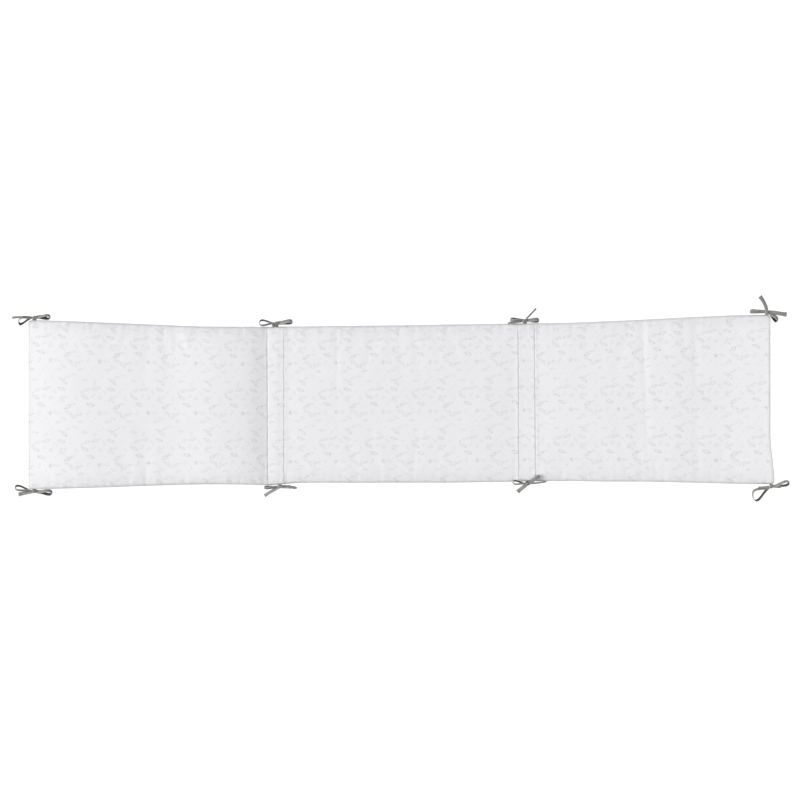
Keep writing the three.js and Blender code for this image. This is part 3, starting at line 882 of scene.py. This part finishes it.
def clothWrinkles(columns, rows):  # the small folds of the simulated front, on the finer mesh
    coarse = seamColumns([], cloth["step"])
    places = np.array([place for place, _ in coarse])
    levels = np.linspace(-1, 1, round(2 * meanHalf() / cloth["step"]) + 1)
    planX, planY, front, _ = coverShape(coarse, levels)
    seams = np.array(seamLines())
    held = np.zeros(front.shape, bool)
    held[:, [0, -1]] = True
    held[np.isin(places, seams)] = True
    shift = settledHeights(np.stack([planX, planY, front], -1), held) - front
    print("cloth shift, mm:", lowToHigh(shift))
    folds = shift - evened(shift, cloth["swellReach"])
    beside = np.abs(places[:, None] - seams).min(1)
    folds = folds * smoothStep(beside, 0, cloth["flatBeside"])[:, None]
    folds[held] = 0
    folds = cloth["mostShift"] * np.tanh(cloth["foldShare"] * folds / cloth["mostShift"])
    print("folds, mm:", lowToHigh(folds))
    xs = [place for place, _ in columns]
    along = np.stack([np.interp(xs, places, line) for line in folds.T], 1)
    return np.stack([np.interp(rows, levels, line) for line in along])


def rimRing(nx, ny):  # the places in the grid once round its edge
    ring = [(i, 0) for i in range(nx)] + [(nx - 1, j) for j in range(1, ny)]
    return ring + [(i, ny - 1) for i in range(nx - 2, -1, -1)] + [(0, j) for j in range(ny - 2, 0, -1)]


def rimPoints(planX, planY, ring):  # the folded edge seam between front and back
    rim = np.array([(planX[i, j], planY[i, j], pad["seamRise"]) for i, j in ring])
    way = np.roll(rim, -1, 0) - np.roll(rim, 1, 0)
    out = unit(np.stack([way[:, 1], -way[:, 0], 0 * way[:, 0]], -1))
    return rim + out * pad["rimBulge"]


def ringQuads(lower, upper):
    return np.stack([lower, np.roll(lower, -1), np.roll(upper, -1), upper], -1)


def makePad():
    columns = seamColumns(pad["besideSeam"], pad["step"])
    rows = seamRows(pad["besideSeam"], pad["step"])
    planX, planY, front, back = coverShape(columns, rows)
    front = front + clothWrinkles(columns, rows)
    nx, ny = front.shape
    ring = rimRing(nx, ny)
    points = [np.stack([planX, planY, level], -1).reshape(-1, 3) for level in (front, back)]
    points.append(rimPoints(planX, planY, ring))

    upper = np.arange(nx * ny).reshape(nx, ny)
    lower = upper + nx * ny
    rim = 2 * nx * ny + np.arange(len(ring))
    high, low = [np.array([index[place] for place in ring]) for index in (upper, lower)]
    turnedOver = [0, 3, 2, 1]
    quads = [gridQuads(upper), gridQuads(lower)[:, turnedOver], ringQuads(rim, high), ringQuads(low, rim)]
    mesh = bpy.data.meshes.new("bumper-cover")
    mesh.from_pydata(np.concatenate(points).tolist(), [], np.concatenate(quads).tolist())
    mesh.shade_smooth()

    # Kept for the material: the place on the flat cloth, and the distance from the nearer long edge,
    # which sets the painted edge shade
    flat = clothPlaces(columns, rows)
    onRim = [flat[place] for place in ring]
    writeAttribute(mesh, "clothAt", np.concatenate([flat.reshape(-1, 3), flat.reshape(-1, 3), onRim]))
    inward = coverGrid(columns, rows)["toEdge"]
    onRim = [inward[place] for place in ring]
    writeAttribute(mesh, "fromEdge", np.concatenate([inward.ravel(), inward.ravel(), onRim]))
    mesh.materials.append(printedCotton)
    return linked("bumper-cover", mesh)


cover = makePad()
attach(cover, "root")
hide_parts("bumper_pad")
print("cover:", len(cover.data.polygons), "faces")


# Stitching through the pad

stitching = {
    "pitch": 0.0031,
    "long": 0.0025,
    "thick": 0.0005,
    "lift": 0.0001,  # of a stitch's middle above the cloth; its lower side sinks in
    "segments": 6,
    "rings": 4,
    "skippedRows": 2,  # of the cover's mesh, at the long edges
}


def stitchTree():
    wire, inlets = newTree("stitch row", ["Pitch", "Long", "Thick"])
    row = {"Curve": heldCurve(wire, inlets), "Length": inlets["Pitch"]}
    points = wire.node("GeometryNodeCurveToPoints", {"mode": "LENGTH"}, row)
    turns = Wire(wire.tree, points.socket.node.outputs["Rotation"])
    bead = wire.node(  # one across, before it is scaled
        "GeometryNodeMeshUVSphere", {},
        {"Segments": stitching["segments"], "Rings": stitching["rings"], "Radius": 0.5},
    )
    size = wire.node(
        "ShaderNodeCombineXYZ", {},
        {"X": inlets["Thick"], "Y": inlets["Thick"], "Z": inlets["Long"]},
    )
    stitch = wire.node("GeometryNodeTransform", {}, {"Geometry": bead, "Scale": size})
    placed = wire.node(
        "GeometryNodeInstanceOnPoints", {},
        {"Points": points, "Instance": stitch, "Rotation": turns},
    )
    return closeTree(wire, inlets, placed)


def padStitches():
    rows = seamRows(pad["besideSeam"], pad["step"])
    keep = slice(stitching["skippedRows"], -stitching["skippedRows"])
    runs = []
    for k, line in enumerate(seamLines()[1:-1]):
        planX, planY, front, back = coverShape([(line, k)], rows)
        for heights, facing in ((front + stitching["lift"], 1), (back - stitching["lift"], -1)):
            points = np.stack([planX[0], planY[0], heights[0]], -1)[keep]
            ways = np.tile([0.0, 0.0, facing], (len(points), 1))
            runs.append({"points": points, "ways": ways, "shares": np.ones(len(points)), "closed": False})
    return pathMesh("pad-stitching-path", runs)


stitchSizes = {
    "Pitch": stitching["pitch"],
    "Long": stitching["long"],
    "Thick": stitching["thick"],
    "Material": whiteThread,
}
padThread = grownPiece("pad-stitching", padStitches(), stitchTree(), stitchSizes)
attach(padThread, "root")
print("pad stitching:", len(padThread.data.polygons), "faces")


# The tape bows

tape = {
    "width": 2 * tapeCloth["halfWidth"],
    "thick": 0.0010,
    "cup": 0.0012,  # how far its edges stand up
    "roundShare": 0.45,  # of the thickness, at the edges
    "sectionPoints": 30,
    "pinch": 0.7,  # its width at the knot, as a share
    "pinchReach": 0.35,  # the share of a run over which it widens again
    "settled": 0.8,  # the share of a run over which it comes down to the floor
    "endFlare": 0.16,  # how much wider a cut end is
    "flareFrom": 0.75,
    "clearance": 0.0003,  # between the sewn end and the pad's outline
    "sewnLevel": 0.4,  # the share of the sewn end that stays at the height of the seam
    "floorGap": 0.0004,
    "loopSteps": 56,
    "endSteps": 22,
    "knotSteps": 24,
    "knotHalf": (0.0036, 0.0036),  # across the bow, and up
    "knotSkew": 14,
    "knotShare": 1.0,  # of the tape's width
}

# A row for each bow: x, edge, knot beyond the edge, its height, then its loops as turn, reach, bend,
# belly, face and over, and its free ends as turn, reach, bend, face and over. Turns are in degrees. Face
# is how far the tape is tilted, in degrees, and over is how far it lies above the floor.
bows = {
    "tie_top_1": (
        -0.885, 1, 0.0075, 0.007,
        [(182, 0.038, 0.011, 0.020, -42, 0), (2, 0.039, 0, 0.013, 38, 0)],
        [(173, 0.053, 0.006, 34, 0.003), (4, 0.030, 0, 70, 0)],
    ),
    "tie_top_2": (
        -0.299, 1, 0.009, 0.007,
        [(178, 0.042, 0, 0.016, 24, 0), (6, 0.039, 0, 0.012, 62, 0)],
        [(210, 0.012, 0, 75, 0.010), (6, 0.028, 0, 84, 0)],
    ),
    "tie_top_3": (
        0.3025, 1, 0.0075, 0.007,
        [(177, 0.036, 0, 0.011, 62, 0), (2, 0.034, 0, 0.011, 64, 0)],
        [(45, 0.040, 0.001, 24, 0), (188, 0.042, 0, 30, 0.0095)],
    ),
    "tie_top_4": (
        0.888, 1, 0.009, 0.007,
        [(179, 0.041, 0, 0.007, 64, 0), (-35, 0.034, -0.004, 0.012, 56, 0)],
        [(92, 0.038, 0.014, 84, 0), (-9, 0.048, 0, 82, 0.009)],
    ),
    "tie_bottom_1": (
        -0.885, -1, 0.0065, 0.007,
        [(167, 0.048, 0, 0.014, 34, 0), (-4, 0.044, 0, 0.015, 42, 0)],
        [(186, 0.040, 0.003, 66, 0), (-8, 0.028, 0, 75, 0)],
    ),
    "tie_bottom_2": (
        -0.291, -1, 0.0065, 0.007,
        [(183, 0.038, 0, 0.006, 40, 0), (3, 0.041, -0.005, 0.005, 18, 0)],
        [(204, 0.043, 0.004, 50, 0), (-2, 0.026, 0, 60, 0)],
    ),
    "tie_bottom_3": (
        0.3085, -1, 0.0065, 0.014,
        [(172, 0.037, 0, 0.011, 26, 0.0125), (36, 0.034, 0, 0.004, 82, 0.0152)],
        [(216, 0.031, 0.002, 84, 0), (1, 0.046, 0.004, 24, 0.003)],
    ),
    "tie_bottom_4": (
        0.899, -1, 0.0065, 0.007,
        [(12, 0.044, 0.001, 0.014, 32, 0), (204, 0.053, 0.005, 0.032, -28, 0)],
        [(187, 0.031, 0, 50, 0), (-3, 0.024, 0, 40, 0)],
    ),
}

upWay = np.array([0.0, 0.0, 1.0])


def headings(turn):
    angle = math.radians(turn)
    heading = np.array([math.cos(angle), math.sin(angle), 0])
    return heading, np.cross(upWay, heading)


def tapeRun(points, across, shares, closed=False):  # across is squared to the run
    if closed:
        ahead = np.roll(points, -1, 0) - np.roll(points, 1, 0)
    else:
        ahead = np.gradient(points, axis=0)
    ahead = unit(ahead)
    across = np.broadcast_to(across, points.shape)
    ways = unit(across - ahead * np.sum(across * ahead, -1, keepdims=True))
    return {"points": points, "ways": ways, "shares": shares, "closed": closed}


def pinched(share):
    return tape["pinch"] + (1 - tape["pinch"]) * smoothStep(share, 0, tape["pinchReach"])


def loopRun(knot, loop):
    turn, reach, bend, belly, face, over = loop
    heading, left = headings(turn)
    tilt = math.radians(face)
    sideways = left * math.cos(tilt) + upWay * math.sin(tilt)
    across = upWay * math.cos(tilt) - left * math.sin(tilt)
    depth = (abs(sideways[2]) * belly + across[2] * tape["width"] + tape["thick"]) / 2
    rest = tape["floorGap"] + over + depth
    angle = np.linspace(0, 2 * math.pi, tape["loopSteps"] + 1)[:, None]
    out = (1 - np.cos(angle)) / 2
    widest = 0.572  # the greatest value of the drop shape below
    opened = np.sin(angle) * np.sin(angle / 2) ** 3 / widest
    points = knot + heading * reach * out + left * bend * out ** 2
    points[:, 2:] = knot[2] + (rest - knot[2]) * smoothStep(out, 0, tape["settled"])
    points = points + sideways * belly / 2 * opened
    return tapeRun(points, across, pinched(out[:, 0]))


def endRun(knot, end):
    turn, reach, bend, face, over = end
    heading, left = headings(turn)
    tilt = math.radians(face)
    across = -upWay * math.cos(tilt) - left * math.sin(tilt)
    rest = tape["floorGap"] + over + (abs(across[2]) * tape["width"] + tape["thick"]) / 2
    share = np.linspace(0, 1, tape["endSteps"] + 1)[:, None]
    points = knot + heading * reach * share + left * bend * share ** 2
    points[:, 2:] = knot[2] + (rest - knot[2]) * smoothStep(share, 0, tape["settled"])
    shares = pinched(share[:, 0]) * (1 + tape["endFlare"] * smoothStep(share[:, 0], tape["flareFrom"], 1))
    return tapeRun(points, across, shares)


def edgeReach(x, edge):  # from the centre line to the top edge, or for -1 to the bottom edge
    return edgeAt(np.array(x), 1 if edge > 0 else 2)


def sewnRun(knot, x, edge):
    reaches = [edgeReach(x + k * tape["width"] / 2, edge) for k in (-1, 0, 1)]
    seam = np.array([x, edge * (max(reaches) + tape["clearance"]), pad["seamRise"]])
    level = seam + (knot - seam) * tape["sewnLevel"]
    level[2] = pad["seamRise"]
    points = np.array([seam, (seam + level) / 2, level, (level + knot) / 2, knot])
    return tapeRun(points, np.array([edge, 0.0, 0.0]), np.ones(len(points)))


def knotRun(knot, turn):  # the band of tape round the middle of the bow
    heading, left = headings(turn + tape["knotSkew"])
    angle = np.linspace(0, 2 * math.pi, tape["knotSteps"], endpoint=False)[:, None]
    wide, high = tape["knotHalf"]
    points = knot + left * wide * np.cos(angle) + upWay * high * np.sin(angle)
    return tapeRun(points, -heading, np.full(len(points), tape["knotShare"]), closed=True)


def bowRuns(row):
    x, edge, out, rise, loops, ends = row
    knot = np.array([x, edge * (edgeReach(x, edge) + out), rise])
    runs = [sewnRun(knot, x, edge)]
    runs += [loopRun(knot, loop) for loop in loops]
    runs += [endRun(knot, end) for end in ends]
    runs.append(knotRun(knot, loops[0][0]))
    return runs


def tapeTree():
    wire, inlets = newTree("swept tape", ["Width", "Thick", "Cup"])
    share = wire.node("GeometryNodeInputNamedAttribute", {"data_type": "FLOAT"}, {"Name": "share"})
    length = wire.node("GeometryNodeSplineParameter", {}, {}, outlet="Length")
    run = stored(wire, heldCurve(wire, inlets), "alongTape", length)

    # The section: a flat oblong with round edges, a little hollow
    oblong = wire.node(
        "GeometryNodeCurvePrimitiveQuadrilateral", {},
        {"Width": inlets["Width"], "Height": inlets["Thick"]},
    )
    rounded = wire.node(
        "GeometryNodeFilletCurve", {},
        {"Curve": oblong, "Radius": inlets["Thick"] * tape["roundShare"]},
    )
    section = wire.node(
        "GeometryNodeResampleCurve", {"mode": "COUNT"},
        {"Curve": rounded, "Count": tape["sectionPoints"]},
    )
    sideways, upward, _ = wire.node("GeometryNodeInputPosition", {}, {}).parts()
    offMiddle = sideways / (inlets["Width"] * 0.5)
    section = stored(wire, section, "acrossTape", offMiddle)
    # which face a point is on, read by the material for the painted shade of one face
    section = stored(wire, section, "sideTape", upward / (inlets["Thick"] * 0.5))
    lift = wire.node("ShaderNodeCombineXYZ", {}, {"Y": inlets["Cup"] * (offMiddle * offMiddle)})
    hollowed = wire.node("GeometryNodeSetPosition", {}, {"Geometry": section, "Offset": lift})
    swept = wire.node(
        "GeometryNodeCurveToMesh", {},
        {"Curve": run, "Profile Curve": hollowed, "Scale": share, "Fill Caps": True},
    )
    return closeTree(wire, inlets, swept)


sweptTape = tapeTree()
tapeSizes = {"Width": tape["width"], "Thick": tape["thick"], "Cup": tape["cup"], "Material": greyTape}
for node, row in bows.items():
    runs = bowRuns(row)
    name = node.replace("tie_", "bow-").replace("_", "-")
    bow = grownPiece(name, pathMesh(name + "-path", runs), sweptTape, tapeSizes)
    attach(bow, "root")
    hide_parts(node)
